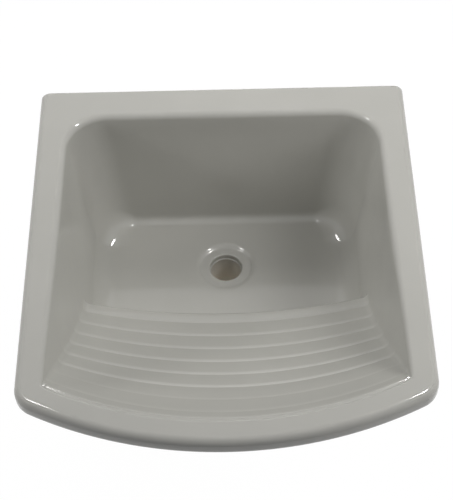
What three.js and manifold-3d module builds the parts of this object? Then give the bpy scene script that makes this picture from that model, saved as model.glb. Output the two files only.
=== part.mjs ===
/**
 * Utility laundry sink: one glazed casting with a bowed front and a fluted wash board,
 * its waste set, and the two bolts with which it hangs on a wall.
 *
 * Millimetres, +Z up. The front faces -Y and the wall is the plane y = 0. The origin lies
 * on that wall face, midway between the two bolts.
 */
import * as THREE from 'three';
import { mergeVertices } from 'three/addons/utils/BufferGeometryUtils.js';
import Module from 'manifold-3d';

const wasm = await Module();
wasm.setup();

// ---------------------------------------------------------------- driving dimensions

// Rim, seen from above: straight at the wall and the sides, bowed at the front
const rimWidth = 500;
const rimDepth = 565;            // wall face to the crown of the bow
const frontBow = 65;             // the crown's lead over the ends of the bow
const rimThickness = 26;
const rimRounding = 9;           // edge radius at the front and the sides
const rearRounding = 3;          // edge radius at the wall
const rimRearCorner = 10;
const rimFrontCorner = 32;

// Opening and the ledges around it
const rearLedge = 43;
const sideLedge = 31;
const frontLedge = 28;
const openingRounding = 8;       // edge radius at the rear and the sides
const frontRounding = 4.5;       // edge radius above the board
const openingRearCorner = 56;
const openingFrontCorner = 18;

// Bowl
const bowlDepth = 200;           // rim to floor
const wallThickness = 12;
const sideDraft = 30;            // lean of each side wall, from the rim to the floor
const rearDraft = 20;            // lean of the rear wall
const floorRearCorner = 36;
const sideFillet = 28;           // between the floor and the side walls
const rearFillet = 13;

// Fluted wash board between the crest and the front ledge
const crestFromWall = 276;       // at mid width
const crestBow = 30;             // the crest's middle stands this far ahead of its ends
const crestHeight = 50;          // over the floor
const crestNose = 7;
const crestLand = 22;            // plain strip behind the first flute
const crestDraft = 6;            // lean of the drop below the crest
const crestFoot = 20;            // fillet between the drop and the floor
const boardEndInset = 8;         // from the opening's front edge to the end of the board
const boardEndDrop = 3;          // below the rim, at the end of the board
const boardStartShare = 0.7;     // slope at the crest, as a share of the mean slope
const fluteCount = 7;
const fluteDepth = 3.2;
const stripDepth = 1.4;          // the last flute, a flat strip
const grooveDepth = 2.2;         // between that strip and the front ledge
const grooveFlank = 2.2;

// Skirt that stands against the wall
const skirtThickness = 14;
const skirtDrop = 130;           // rim to its lower edge
const skirtInset = 14;           // in from each side of the rim
const skirtCorner = 22;
const skirtRounding = 2.5;

// Wall bolts
const boltSpacing = 280;
const boltDrop = 70;             // rim to bolt
const boltDiameter = 10;
const boltInWall = 60;
const boltPoint = 9;
const boltPastNut = 5;
const nutAcrossFlats = 17;
const nutHeight = 8;
const washerDiameter = 24;
const washerThickness = 2;
const bushFlangeDiameter = 28;
const bushFlangeThickness = 3;
const bushWall = 3.7;

// Waste set
const wasteFromWall = 157;
const wasteDiameter = 48;        // over the threaded tail
const wasteWall = 3.5;           // of the threaded tail
const wasteThroat = 45.5;        // above the ledge for a strainer
const wasteNeckWall = 2.25;      // around the throat, inside the casting
const wasteLedgeDepth = 8;       // throat's edge to the ledge
const wasteLedgeFall = 1.1;      // fall of the ledge towards the bore
const wasteLip = 2;              // rounding where the throat opens
const wasteFlangeDiameter = 74;
const wasteFlangeThickness = 2.6;
const wasteFlangeRounding = 0.7;
const wasteFlangeSink = 1.8;     // floor to the flange's outer edge
const wasteDish = 1.2;           // fall of the flange from its edge to the throat
const recessShoulder = 5;        // rounding of the casting where the floor dips to it
const wasteTail = 74;            // body below the casting
const topGasketThickness = 1.2;
const underGasketDiameter = 68;
const underGasketThickness = 4;
const slipWasherThickness = 1.6;
const locknutDiameter = 62;
const locknutHeight = 12;
const locknutLugs = 6;
const locknutLugLength = 5;
const locknutLugWidth = 12;
const locknutChamfer = 1;

// Clearances
const seatGap = 0.3;             // between faces that touch
const wasteClearance = 1.5;      // casting around the waste body
const recessClearance = 0.8;     // casting around the waste flange
const threadGap = 0.35;          // between a thread and what runs on it

// Facets
const bowSteps = 12;             // half of a bowed edge
const cornerSteps = 7;
const roundingSteps = 4;
const filletSteps = 5;
const boardStations = 24;
const fluteSteps = 6;
const holeSides = 40;
const fixingSides = 24;

// ---------------------------------------------------------------- sizes that follow

const halfWidth = rimWidth / 2;
const bowRadius = (halfWidth ** 2 + frontBow ** 2) / (2 * frontBow);
const openingHalfWidth = halfWidth - sideLedge;
const openingCrown = -(rimDepth - frontLedge);
const openingBowRadius = bowRadius - frontLedge;
const crestRadius = (openingHalfWidth ** 2 + crestBow ** 2) / (2 * crestBow);
const crestTop = crestHeight - bowlDepth;
const castingBottom = -(bowlDepth + wallThickness);
const boardRun = rimDepth - frontLedge - boardEndInset - crestFromWall;
const boardRise = -boardEndDrop - crestTop;
const wasteBody = wasteDiameter / 2;
const wasteNeck = Math.max(wasteBody, wasteThroat / 2 + wasteNeckWall);
const flangeTop = -bowlDepth - wasteFlangeSink;
const flangeBottom = flangeTop - wasteFlangeThickness;
const recessBottom = flangeBottom - topGasketThickness - 2 * seatGap;
const fixingHole = boltDiameter + 2 * (threadGap + bushWall + seatGap);
const quarter = Math.PI / 2;

// ---------------------------------------------------------------- geometry helpers

const range = (count) => Array.from({ length: count }, (_, i) => i);
const mix = (a, b, t) => a + (b - a) * t;
const sag = (radius, x) => radius - Math.sqrt(radius ** 2 - x ** 2);

/** Closed outline, counter-clockwise from above: bowed front, straight sides and rear. */
function panOutline({ side, rear, crown, radius, rearCorner, frontCorner }) {
  const bowCentre = crown + radius;
  const frontX = side - frontCorner;
  const frontY = bowCentre - Math.sqrt((radius - frontCorner) ** 2 - frontX ** 2);
  const bowAngle = Math.atan2(frontX, bowCentre - frontY);
  const right = [];
  for (let i = 0; i <= bowSteps; i++) {
    const angle = bowAngle * i / bowSteps;
    right.push([radius * Math.sin(angle), bowCentre - radius * Math.cos(angle)]);
  }
  for (let i = 1; i <= cornerSteps; i++) {
    const angle = mix(bowAngle - quarter, 0, i / cornerSteps);
    right.push([frontX + frontCorner * Math.cos(angle), frontY + frontCorner * Math.sin(angle)]);
  }
  for (let i = 0; i <= cornerSteps; i++) {
    const angle = quarter * i / cornerSteps;
    const x = side - rearCorner + rearCorner * Math.cos(angle);
    right.push([x, rear - rearCorner + rearCorner * Math.sin(angle)]);
  }
  const left = right.slice(1).reverse().map(([x, y]) => [-x, y]);
  return right.concat(left);
}

/** Closed skin through sections of equal length, each counter-clockwise in `flat`. */
function skin(sections, flat) {
  const count = sections[0].length;
  const index = [];
  for (let k = 0; k + 1 < sections.length; k++) {
    for (let i = 0; i < count; i++) {
      const a = k * count + i;
      const b = k * count + (i + 1) % count;
      index.push(a, b, b + count, a, b + count, a + count);
    }
  }
  const cap = (section) => THREE.ShapeUtils.triangulateShape(section.map(flat), []);
  const last = (sections.length - 1) * count;
  cap(sections[0]).forEach(([a, b, c]) => index.push(a, c, b));
  cap(sections.at(-1)).forEach(([a, b, c]) => index.push(last + a, last + b, last + c));
  const geometry = new THREE.BufferGeometry().setFromPoints(sections.flat());
  geometry.setIndex(index);
  return geometry;
}

/** Solid between level outlines, given from the bottom up as [outline, z]. */
function loft(levels) {
  const sections = levels.map(([outline, z]) => outline.map(([x, y]) => new THREE.Vector3(x, y, z)));
  return skin(sections, (p) => new THREE.Vector2(p.x, p.y));
}

/** Solid swept across the bowl: `profileAt(x)` gives its outline as [y, z]. */
function sweepAcross(reach, profileAt) {
  const sections = range(boardStations + 1).map((i) => {
    const x = mix(-reach, reach, i / boardStations);
    return profileAt(x).map(([y, z]) => new THREE.Vector3(x, y, z));
  });
  return skin(sections, (p) => new THREE.Vector2(p.y, p.z));
}

/** Ring or disc about Z; the profile runs counter-clockwise as [radius, z]. */
function turned(profile, sides) {
  const points = profile.concat([profile[0]]).map(([r, z]) => new THREE.Vector2(r, z));
  return new THREE.LatheGeometry(points, sides).rotateX(quarter);
}

/** Flat ring about Z. */
function ring(inner, outer, bottom, top, sides) {
  return turned([[inner, bottom], [outer, bottom], [outer, top], [inner, top]], sides);
}

/** Solid cylinder about Z. */
function rod(radius, bottom, top, sides) {
  return turned([[0, bottom], [radius, bottom], [radius, top], [0, top]], sides);
}

function toSolid(geometry) {
  const bare = geometry.clone();
  bare.deleteAttribute('normal');
  bare.deleteAttribute('uv');
  const merged = mergeVertices(bare);
  const vertProperties = new Float32Array(merged.attributes.position.array);
  const triVerts = new Uint32Array(merged.index.array);
  return new wasm.Manifold(new wasm.Mesh({ numProp: 3, vertProperties, triVerts }));
}

function toGeometry(solid) {
  const mesh = solid.getMesh();
  const geometry = new THREE.BufferGeometry();
  geometry.setAttribute('position', new THREE.BufferAttribute(mesh.vertProperties, 3));
  geometry.setIndex(new THREE.BufferAttribute(mesh.triVerts, 1));
  geometry.computeVertexNormals();
  return geometry;
}

// ---------------------------------------------------------------- the casting

/** Rim outline, drawn in by the share `turn` of its edge roundings. */
function rimOutline(turn) {
  return panOutline({
    side: halfWidth - rimRounding * turn,
    rear: -rearRounding * turn,
    crown: -rimDepth + rimRounding * turn,
    radius: bowRadius - rimRounding * turn,
    rearCorner: rimRearCorner,
    frontCorner: rimFrontCorner - rimRounding * turn,
  });
}

/** Flat rim with a rolled edge; the bowl's opening is cut from it later. */
function rimSolid() {
  const steps = range(roundingSteps + 1).map((i) => quarter * i / roundingSteps);
  const lower = steps.map((a) => {
    return [rimOutline(1 - Math.sin(a)), -rimThickness + rimRounding * (1 - Math.cos(a))];
  });
  const upper = steps.map((a) => [rimOutline(1 - Math.cos(a)), -rimRounding * (1 - Math.sin(a))]);
  return toSolid(loft(lower.concat(upper)));
}

/** How far inwards a rounded upper edge has come at a depth below its flat. */
function edgeInward(radius, depth) {
  const left = Math.max(radius - depth, 0);
  return Math.sqrt(radius ** 2 - left ** 2);
}

/** How far inwards a fillet stands off its wall at a height over the floor. */
function filletInward(radius, height) {
  return radius - edgeInward(radius, height);
}

/** Bowl outline at a depth below the rim; the rest is measured inwards from the opening. */
function bowlOutline(depth, side, rear, front) {
  const share = depth / bowlDepth;
  return panOutline({
    side: openingHalfWidth - side - sideDraft * share,
    rear: -rearLedge - rear - rearDraft * share,
    crown: openingCrown + front,
    radius: openingBowRadius - front,
    rearCorner: mix(openingRearCorner, floorRearCorner, share),
    frontCorner: openingFrontCorner,
  });
}

/** The hollow of the bowl: fillets at the floor, drafted walls, rounded edge at the rim. */
function bowlHollow() {
  const fillet = range(filletSteps + 1).map((i) => sideFillet * (1 - Math.cos(quarter * i / filletSteps)));
  const edge = range(roundingSteps + 1).map((i) => {
    return openingRounding * (1 - Math.sin(quarter * i / roundingSteps));
  });
  const levels = [...fillet.map((height) => bowlDepth - height), ...edge].map((depth) => {
    const wall = edgeInward(openingRounding, depth);
    const side = wall + filletInward(sideFillet, bowlDepth - depth);
    const rear = wall + filletInward(rearFillet, bowlDepth - depth);
    return [bowlOutline(depth, side, rear, edgeInward(frontRounding, depth)), -depth];
  });
  const above = [bowlOutline(0, 0, 0, 0), rimThickness];
  return toSolid(loft([...levels, above]));
}

/** The bowl's outside, one wall thickness around its hollow. */
function bowlShell() {
  const outerSide = sideFillet + wallThickness;
  const outerRear = rearFillet + wallThickness;
  const wall = openingRounding - wallThickness;
  const fillet = range(filletSteps + 1).map((i) => {
    const height = outerSide * (1 - Math.cos(quarter * i / filletSteps));
    const depth = -castingBottom - height;
    const side = wall + filletInward(outerSide, height);
    const rear = wall + filletInward(outerRear, height);
    return [bowlOutline(depth, side, rear, wall), -depth];
  });
  const top = [bowlOutline(rimThickness / 2, wall, wall, wall), -rimThickness / 2];
  return toSolid(loft([...fillet, top]));
}

/** Where the board starts and ends at a distance `x` from mid width. */
function boardSpan(x) {
  const endRadius = openingBowRadius - boardEndInset;
  return {
    crest: -crestFromWall + sag(crestRadius, x),
    end: openingCrown + boardEndInset + sag(endRadius, x),
  };
}

/** Height of the plain board at the share `t` of the way from the crest to the front. */
function boardHeight(t) {
  return crestTop + boardRise * (boardStartShare * t + (1 - boardStartShare) * t * t);
}

/** How deep the flutes lie below the plain board there; the last one is a flat strip. */
function fluteCut(t) {
  const first = crestLand / boardRun;
  const place = fluteCount * (t - first) / (1 - first);
  const intoStrip = place - (fluteCount - 1);
  if (intoStrip > 0) return stripDepth * Math.sin(Math.min(Math.PI * intoStrip, quarter));
  return place <= 0 ? 0 : fluteDepth * Math.abs(Math.sin(Math.PI * place));
}

/** Shares of the way up the board at which its profile has a point. */
function boardShares(start) {
  const first = crestLand / boardRun;
  const flutes = range(fluteCount * fluteSteps + 1).map((i) => mix(first, 1, i / (fluteCount * fluteSteps)));
  return [start, ...flutes];
}

/**
 * Profile of the board at `x`: off the floor by a fillet, up the drop behind the crest,
 * round the nose and along the board to the front. The underside's profile is set down by
 * `sink` and forward by `forward`, and has no flutes.
 */
function boardProfile(x, { floor, foot, forward, sink, fluted }) {
  const { crest, end } = boardSpan(x);
  const rear = crest - forward;
  const length = crest - end;
  const start = (forward + crestNose) / length;
  const surface = (t) => boardHeight(t) - sink(t) - (fluted ? fluteCut(t) : 0);
  const below = castingBottom - wallThickness;
  const front = -rimDepth - wallThickness;
  const noseTop = surface(start);
  const lean = Math.atan2(crestDraft, crestHeight);
  const footTop = floor + foot * (1 - Math.sin(lean));
  const footRear = rear + (noseTop - crestNose - footTop) * Math.tan(lean);
  const fillet = range(roundingSteps + 1).map((i) => {
    const angle = (quarter - lean) * i / roundingSteps;
    return [footRear + foot * (Math.cos(lean) - Math.sin(angle)), floor + foot * (1 - Math.cos(angle))];
  });
  const nose = range(roundingSteps).map((i) => {
    const angle = quarter * i / roundingSteps;
    return [rear - crestNose * (1 - Math.cos(angle)), noseTop - crestNose * (1 - Math.sin(angle))];
  });
  const top = boardShares(start).filter((t) => t >= start).map((t) => [crest - length * t, surface(t)]);
  const groove = fluted ? grooveDepth : 0;
  const close = [[end - grooveFlank, surface(1) - groove], [front, surface(1) - groove]];
  return [[front, below], [fillet[0][0], below], ...fillet, ...nose, ...top, ...close];
}

/** Everything under the fluted surface, to be kept out of the bowl's hollow. */
function boardSolid() {
  const sizes = { floor: -bowlDepth, foot: crestFoot, forward: 0, sink: () => 0, fluted: true };
  return toSolid(sweepAcross(openingHalfWidth, (x) => boardProfile(x, sizes)));
}

/** The open space under the board, one wall thickness below it. */
function boardUnderside() {
  const slope = (t) => boardRise / boardRun * (boardStartShare + 2 * (1 - boardStartShare) * t);
  const sink = (t) => wallThickness * Math.hypot(1, slope(t));
  const foot = crestFoot + wallThickness;
  const sizes = { floor: castingBottom, foot, forward: wallThickness, sink, fluted: false };
  return toSolid(sweepAcross(halfWidth, (x) => boardProfile(x, sizes)));
}

/** Skirt that hangs from the rear ledge and stands against the wall. */
function skirtSolid() {
  const x = halfWidth - skirtInset;
  const shape = new THREE.Shape();
  shape.moveTo(-x, -rimThickness / 2);
  shape.lineTo(-x, -skirtDrop + skirtCorner);
  shape.absarc(-x + skirtCorner, -skirtDrop + skirtCorner, skirtCorner, Math.PI, 3 * quarter);
  shape.absarc(x - skirtCorner, -skirtDrop + skirtCorner, skirtCorner, 3 * quarter, 4 * quarter);
  shape.lineTo(x, -rimThickness / 2);
  const plate = new THREE.ExtrudeGeometry(shape, {
    depth: skirtThickness - 2 * skirtRounding,
    bevelThickness: skirtRounding,
    bevelSize: skirtRounding,
    bevelOffset: -skirtRounding,
    bevelSegments: 2,
    curveSegments: cornerSteps,
  });
  return toSolid(plate.translate(0, 0, skirtRounding).rotateX(quarter));
}

/** What is cut for the waste: a hole, and a recess with a rounded shoulder. */
function drainCut() {
  const hole = wasteNeck + wasteClearance;
  const recess = wasteFlangeDiameter / 2 + recessClearance;
  const steepest = Math.acos(1 - wasteFlangeSink / recessShoulder);
  const shoulder = range(roundingSteps + 1).map((i) => {
    const angle = steepest * (1 - i / roundingSteps);
    const out = recessShoulder * (Math.sin(steepest) - Math.sin(angle));
    return [recess + out, -bowlDepth - recessShoulder * (1 - Math.cos(angle))];
  });
  const [edge] = shoulder.at(-1);
  const above = -bowlDepth + wallThickness;
  return toSolid(turned([
    [0, castingBottom - wallThickness], [hole, castingBottom - wallThickness],
    [hole, recessBottom], [recess, recessBottom], ...shoulder, [edge, above], [0, above],
  ], holeSides).translate(0, -wasteFromWall, 0));
}

function basinGeometry() {
  const bowl = bowlShell().subtract(boardUnderside());
  const hollow = bowlHollow().subtract(boardSolid());
  let casting = rimSolid().add(bowl).add(skirtSolid()).subtract(hollow).subtract(drainCut());
  for (const x of boltPlaces) {
    const hole = rod(fixingHole / 2, -skirtThickness, 2 * skirtThickness, fixingSides);
    casting = casting.subtract(toSolid(hole.rotateX(quarter).translate(x, 0, -boltDrop)));
  }
  return toGeometry(casting);
}

// ---------------------------------------------------------------- the waste set

/** Dished flange, neck and threaded tail in one, with a ledge in the throat. */
function wasteBodyGeometry() {
  const bore = wasteBody - wasteWall;
  const throat = wasteThroat / 2;
  const flange = wasteFlangeDiameter / 2;
  const tailEnd = castingBottom - wasteTail;
  const neckEnd = castingBottom + seatGap;
  const throatTop = flangeTop - wasteDish;
  const ledge = throatTop - wasteLedgeDepth;
  const lip = range(roundingSteps + 1).map((i) => {
    const angle = quarter * i / roundingSteps;
    return [throat + wasteLip * (1 - Math.sin(angle)), throatTop - wasteLip * (1 - Math.cos(angle))];
  });
  return turned([
    [bore, tailEnd], [wasteBody, tailEnd], [wasteBody, neckEnd], [wasteNeck, neckEnd],
    [wasteNeck, flangeBottom], [flange, flangeBottom], [flange, flangeTop - wasteFlangeRounding],
    [flange - wasteFlangeRounding, flangeTop], ...lip, [throat, ledge], [bore, ledge - wasteLedgeFall],
  ], holeSides);
}

/** Round nut with lugs for the hand to turn it by. */
function locknutGeometry(bottom) {
  const shape = new THREE.Shape();
  const radius = locknutDiameter / 2;
  const reach = radius + locknutLugLength;
  const halfLug = Math.asin(locknutLugWidth / 2 / radius);
  for (const i of range(locknutLugs)) {
    const middle = 2 * Math.PI * i / locknutLugs;
    const next = 2 * Math.PI * (i + 1) / locknutLugs;
    const from = middle - halfLug;
    const to = middle + halfLug;
    const start = [reach * Math.cos(from), reach * Math.sin(from)];
    if (i === 0) shape.moveTo(...start);
    else shape.lineTo(...start);
    shape.lineTo(reach * Math.cos(to), reach * Math.sin(to));
    shape.absarc(0, 0, radius, to, next - halfLug);
  }
  shape.closePath();
  const bore = new THREE.Path();
  bore.absarc(0, 0, wasteBody + threadGap, 0, 2 * Math.PI, true);
  shape.holes.push(bore);
  const nut = new THREE.ExtrudeGeometry(shape, {
    depth: locknutHeight - 2 * locknutChamfer,
    bevelThickness: locknutChamfer,
    bevelSize: locknutChamfer,
    bevelOffset: -locknutChamfer,
    bevelSegments: 1,
    curveSegments: cornerSteps * 2,
  });
  return nut.translate(0, 0, bottom + locknutChamfer);
}

// ---------------------------------------------------------------- the wall fixings

/** Stack along the bolt, measured from the wall towards the room. */
const bushFace = skirtThickness + seatGap + bushFlangeThickness;
const washerFace = bushFace + seatGap + washerThickness;
const nutFace = washerFace + seatGap + nutHeight;
const boltPlaces = [-boltSpacing / 2, boltSpacing / 2];

/** Bolt: threaded for the nut in front, pointed in the wall. */
function boltGeometry() {
  const radius = boltDiameter / 2;
  const chamfer = radius / 4;
  const room = nutFace + boltPastNut;
  return turned([
    [0, -boltInWall], [radius, -boltInWall + boltPoint],
    [radius, room - chamfer], [radius - chamfer, room], [0, room],
  ], fixingSides);
}

/** Shouldered sleeve that keeps the steel off the glaze. */
function bushGeometry() {
  const bore = boltDiameter / 2 + threadGap;
  const sleeve = bore + bushWall;
  const face = skirtThickness + seatGap;
  return turned([
    [bore, 0], [sleeve, 0], [sleeve, face],
    [bushFlangeDiameter / 2, face], [bushFlangeDiameter / 2, bushFace], [bore, bushFace],
  ], fixingSides);
}

/** Hexagon nut with the corners of its outer face turned off. */
function nutGeometry() {
  const corner = nutAcrossFlats / 2 / Math.cos(Math.PI / 6);
  const bore = boltDiameter / 2 + threadGap;
  const shape = new THREE.Shape();
  for (const i of range(6)) {
    const angle = Math.PI / 3 * i;
    const point = [corner * Math.cos(angle), corner * Math.sin(angle)];
    if (i === 0) shape.moveTo(...point);
    else shape.lineTo(...point);
  }
  shape.closePath();
  const hexagon = new THREE.ExtrudeGeometry(shape, { depth: nutHeight, bevelEnabled: false });
  const chamfer = corner - nutAcrossFlats / 2;
  const dome = turned([
    [bore, 0], [corner + chamfer, 0], [corner + chamfer, nutHeight - 2 * chamfer],
    [corner - chamfer, nutHeight], [bore, nutHeight],
  ], fixingSides);
  return toGeometry(toSolid(hexagon).intersect(toSolid(dome)));
}

// ---------------------------------------------------------------- materials and assembly

const glaze = new THREE.MeshStandardMaterial({ color: 0xb9b8b2, roughness: 0.12, metalness: 0 });
const whitePlastic = new THREE.MeshStandardMaterial({ color: 0xc4c3bd, roughness: 0.3, metalness: 0 });
const rubber = new THREE.MeshStandardMaterial({ color: 0x26262a, roughness: 0.8, metalness: 0 });
const nylon = new THREE.MeshStandardMaterial({ color: 0xd9d5c6, roughness: 0.45, metalness: 0 });
const zincSteel = new THREE.MeshStandardMaterial({ color: 0xb6babd, roughness: 0.35, metalness: 1 });

function piece(name, geometry, material) {
  const mesh = new THREE.Mesh(geometry, material);
  mesh.name = name;
  return mesh;
}

/** Waste set, in the order in which it is put together from the bowl down. */
function wasteSet() {
  const set = new THREE.Group();
  const bore = wasteBody + threadGap;
  const flange = wasteFlangeDiameter / 2;
  const underRadius = underGasketDiameter / 2;
  const topGasketTop = flangeBottom - seatGap;
  const topGasketBottom = topGasketTop - topGasketThickness;
  const underGasketTop = castingBottom - seatGap;
  const underGasketBottom = underGasketTop - underGasketThickness;
  const washerTop = underGasketBottom - seatGap;
  const nutTop = washerTop - slipWasherThickness - seatGap;
  const topGasket = ring(wasteNeck + threadGap, flange, topGasketBottom, topGasketTop, holeSides);
  const underGasket = ring(bore, underRadius, underGasketBottom, underGasketTop, holeSides);
  const slipWasher = ring(bore, underRadius, washerTop - slipWasherThickness, washerTop, holeSides);
  set.add(piece('waste_body', wasteBodyGeometry(), whitePlastic));
  set.add(piece('waste_top_gasket', topGasket, rubber));
  set.add(piece('waste_under_gasket', underGasket, rubber));
  set.add(piece('waste_slip_washer', slipWasher, nylon));
  set.add(piece('waste_locknut', locknutGeometry(nutTop - locknutHeight), whitePlastic));
  set.position.y = -wasteFromWall;
  return set;
}

/** One wall fixing; its own Z axis points out of the wall, into the room. */
function wallFixing(side, x) {
  const fixing = new THREE.Group();
  const bore = boltDiameter / 2 + threadGap;
  const washer = ring(bore, washerDiameter / 2, washerFace - washerThickness, washerFace, fixingSides);
  const nut = piece(`wall_nut_${side}`, nutGeometry(), zincSteel);
  nut.position.z = nutFace - nutHeight;
  fixing.add(piece(`wall_bolt_${side}`, boltGeometry(), zincSteel));
  fixing.add(piece(`wall_bush_${side}`, bushGeometry(), nylon));
  fixing.add(piece(`wall_washer_${side}`, washer, zincSteel));
  fixing.add(nut);
  fixing.rotation.x = quarter;
  fixing.position.set(x, 0, -boltDrop);
  return fixing;
}

const sink = new THREE.Group();
sink.add(piece('basin', basinGeometry(), glaze));
sink.add(wasteSet());
['left', 'right'].forEach((side, i) => sink.add(wallFixing(side, boltPlaces[i])));
sink.position.z = boltDrop;

export default sink;
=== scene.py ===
import math

import bmesh
import bpy
import numpy as np
from mathutils import Matrix, Vector
from mathutils.geometry import delaunay_2d_cdt


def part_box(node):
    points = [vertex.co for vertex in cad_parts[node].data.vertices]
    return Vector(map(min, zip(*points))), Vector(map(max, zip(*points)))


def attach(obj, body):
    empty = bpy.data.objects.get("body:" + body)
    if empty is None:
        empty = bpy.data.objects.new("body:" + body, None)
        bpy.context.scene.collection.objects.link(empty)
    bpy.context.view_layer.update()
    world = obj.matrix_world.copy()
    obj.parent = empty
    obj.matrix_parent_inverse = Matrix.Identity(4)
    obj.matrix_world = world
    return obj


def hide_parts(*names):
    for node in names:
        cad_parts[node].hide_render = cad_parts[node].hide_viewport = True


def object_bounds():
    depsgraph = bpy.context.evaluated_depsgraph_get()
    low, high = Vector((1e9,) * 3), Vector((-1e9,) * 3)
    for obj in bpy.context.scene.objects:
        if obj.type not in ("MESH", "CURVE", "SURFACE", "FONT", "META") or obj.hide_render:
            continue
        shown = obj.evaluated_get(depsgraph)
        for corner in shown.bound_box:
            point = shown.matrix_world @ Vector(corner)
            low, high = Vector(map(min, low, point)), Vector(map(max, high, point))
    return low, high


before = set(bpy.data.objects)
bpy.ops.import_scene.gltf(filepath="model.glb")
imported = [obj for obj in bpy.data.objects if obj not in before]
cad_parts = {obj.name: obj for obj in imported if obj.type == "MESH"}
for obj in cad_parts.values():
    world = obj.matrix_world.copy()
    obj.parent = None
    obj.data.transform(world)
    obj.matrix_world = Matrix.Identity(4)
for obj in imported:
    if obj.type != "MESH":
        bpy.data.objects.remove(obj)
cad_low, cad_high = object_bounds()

# ==================================================================== Camera
# The photograph looks down into the bowl from the front, a little to the right of mid width,
# with the camera tipped a degree or two. The frame is upright, so the sensor's long side is
# its height.

eye = Vector((0.0140, -1.3730, 1.4490))
look_at = Vector((0.0021, -0.2035, -0.0339))
tip = math.radians(-1.70)
lens_mm = 100.5
sensor_mm = 36.0

ahead = (look_at - eye).normalized()
level_right = ahead.cross(Vector((0, 0, 1))).normalized()
level_up = level_right.cross(ahead)
right = level_right * math.cos(tip) + level_up * math.sin(tip)
up = level_up * math.cos(tip) - level_right * math.sin(tip)
camera = bpy.data.objects.new("camera", bpy.data.cameras.new("camera"))
camera.data.lens = lens_mm
camera.data.sensor_width = sensor_mm
camera.matrix_world = Matrix.Translation(eye) @ Matrix((right, up, -ahead)).transposed().to_4x4()
bpy.context.scene.collection.objects.link(camera)
bpy.context.scene.camera = camera
bpy.context.scene.view_settings.view_transform = "Standard"

# ==================================================================== Light
# A pale studio: a little even light from all round and broad soft lamps on both sides, above
# and close behind the rear edge. The right ones stand nearer, so the right wall throws a soft
# shadow over the floor. Two small lamps only leave their image in the glaze of the corners.

sky_strength = 0.12


def white_for_camera(tree, surface):
    """A mix of `surface`, for the light, with its second input, for camera, gloss and glass."""
    path = tree.nodes.new("ShaderNodeLightPath")
    seen = tree.nodes.new("ShaderNodeMath")
    seen.operation = "MAXIMUM"
    tree.links.new(path.outputs["Is Camera Ray"], seen.inputs[0])
    tree.links.new(path.outputs["Is Glossy Ray"], seen.inputs[1])
    also = tree.nodes.new("ShaderNodeMath")
    also.operation = "MAXIMUM"
    tree.links.new(seen.outputs[0], also.inputs[0])
    tree.links.new(path.outputs["Is Transmission Ray"], also.inputs[1])
    blend = tree.nodes.new("ShaderNodeMixShader")
    tree.links.new(also.outputs[0], blend.inputs[0])
    tree.links.new(surface, blend.inputs[1])
    return blend


world = bpy.data.worlds.new("studio")
world.use_nodes = True
bpy.context.scene.world = world
sky = world.node_tree.nodes["Background"]
sky.inputs["Color"].default_value = (0.97, 0.98, 1.0, 1)
sky.inputs["Strength"].default_value = sky_strength
white = world.node_tree.nodes.new("ShaderNodeBackground")
white.inputs["Color"].default_value = (1, 1, 1, 1)
sky_mix = white_for_camera(world.node_tree, sky.outputs[0])
world.node_tree.links.new(white.outputs[0], sky_mix.inputs[2])
world.node_tree.links.new(sky_mix.outputs[0], world.node_tree.nodes["World Output"].inputs[0])

lamp_target = Vector((0.0, -0.25, 0.0))


def add_lamp(name, place, size, watts, shows):
    """Round lamp turned to the sink. One that `shows` is seen in the glaze and lights nothing."""
    data = bpy.data.lights.new(name, "AREA")
    data.shape = "DISK"
    data.size = size
    data.energy = watts
    data.color = (1.0, 0.992, 0.975)
    lamp = bpy.data.objects.new(name, data)
    lamp.location = place
    lamp.rotation_euler = (lamp_target - lamp.location).to_track_quat("-Z", "Y").to_euler()
    lamp.visible_glossy = shows
    lamp.visible_diffuse = not shows
    bpy.context.scene.collection.objects.link(lamp)


add_lamp("left_low", (-1.45, -0.25, 0.68), 0.35, 6.5, False)
add_lamp("right_high", (1.00, -0.25, 1.10), 0.60, 6.8, False)
add_lamp("right_low", (1.20, -0.60, 0.70), 0.50, 3.6, False)
add_lamp("left_high", (-0.50, -0.10, 1.50), 0.50, 3.8, False)
add_lamp("behind", (0.00, 0.45, 0.75), 0.30, 2.6, False)
add_lamp("spark_right", (0.62, 0.03, 1.46), 0.15, 9.0, True)
add_lamp("spark_left", (-0.62, 0.03, 1.46), 0.20, 3.2, True)

# ==================================================================== Floor
# A plain matt floor under the lowest point of the part. The camera sees it nearly white, with
# a faint shadow of the sink; for the light it is a mid grey and throws little back.

floor_size = 6.0
floor_whiteness = 0.96
floor_glow = 1.03

floor_mesh = bpy.data.meshes.new("floor")
floor_half = floor_size / 2
floor_corners = [(-floor_half, -floor_half, 0), (floor_half, -floor_half, 0),
                 (floor_half, floor_half, 0), (-floor_half, floor_half, 0)]
floor_mesh.from_pydata(floor_corners, [], [(0, 1, 2, 3)])
floor = bpy.data.objects.new("floor", floor_mesh)
floor.location.z = cad_low.z
bpy.context.scene.collection.objects.link(floor)

floor_finish = bpy.data.materials.new("white floor")
floor_finish.use_nodes = True
floor_tree = floor_finish.node_tree
paint = floor_tree.nodes["Principled BSDF"]
paint.inputs["Base Color"].default_value = (0.55, 0.55, 0.55, 1)
paint.inputs["Roughness"].default_value = 0.9
glow = floor_tree.nodes.new("ShaderNodeEmission")
glow.inputs["Strength"].default_value = floor_glow
veil = floor_tree.nodes.new("ShaderNodeMixShader")
veil.inputs[0].default_value = floor_whiteness
floor_tree.links.new(paint.outputs[0], veil.inputs[1])
floor_tree.links.new(glow.outputs[0], veil.inputs[2])
floor_mix = white_for_camera(floor_tree, paint.outputs[0])
floor_tree.links.new(veil.outputs[0], floor_mix.inputs[2])
floor_tree.links.new(floor_mix.outputs[0], floor_tree.nodes["Material Output"].inputs[0])
floor_mesh.materials.append(floor_finish)

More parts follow.
